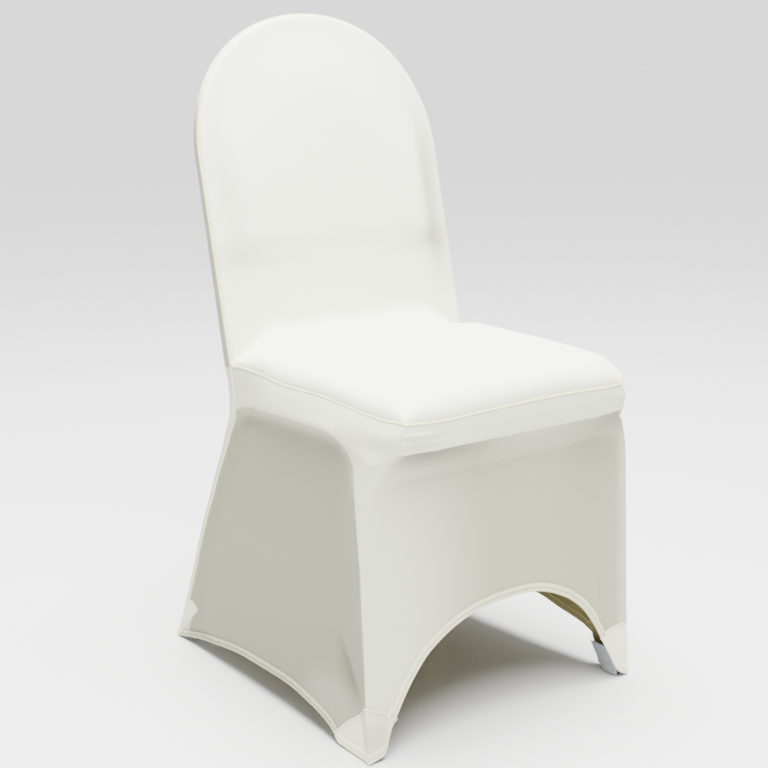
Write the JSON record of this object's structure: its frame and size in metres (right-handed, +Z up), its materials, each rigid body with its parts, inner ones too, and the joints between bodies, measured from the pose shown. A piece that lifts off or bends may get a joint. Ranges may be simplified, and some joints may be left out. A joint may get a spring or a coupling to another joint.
{
  "type": "stretch chair cover",
  "caption": "Fitted stretch-knit cover for a round-backed stacking chair, with arched hems and foot pockets; hollow.",
  "frame": {"origin": "inside of the cover's crown, in the middle, where the chair's back holds it up", "axes": "+Z up, the cover's front towards -Y, +X to the right seen from the front"},
  "size_m": [0.4629, 0.5729, 0.9316],
  "materials": {
    "ivory_knit": "smooth two-way stretch knit with a soft satin sheen",
    "ivory_knit_double": "the same knit in a doubled layer, a little creamier",
    "grey_knit": "plain grey-blue knit"
  },
  "bodies": {
    "root": {"front_panel": "ivory_knit", "rear_panel": "ivory_knit", "skirt": "ivory_knit", "foot_patch_front_left": "ivory_knit_double", "foot_patch_front_right": "ivory_knit_double", "foot_patch_rear_left": "ivory_knit_double", "foot_patch_rear_right": "ivory_knit_double", "foot_pocket_front_left": "grey_knit", "foot_pocket_front_right": "grey_knit", "foot_pocket_rear_left": "grey_knit", "foot_pocket_rear_right": "grey_knit"}
  },
  "joints": []
}
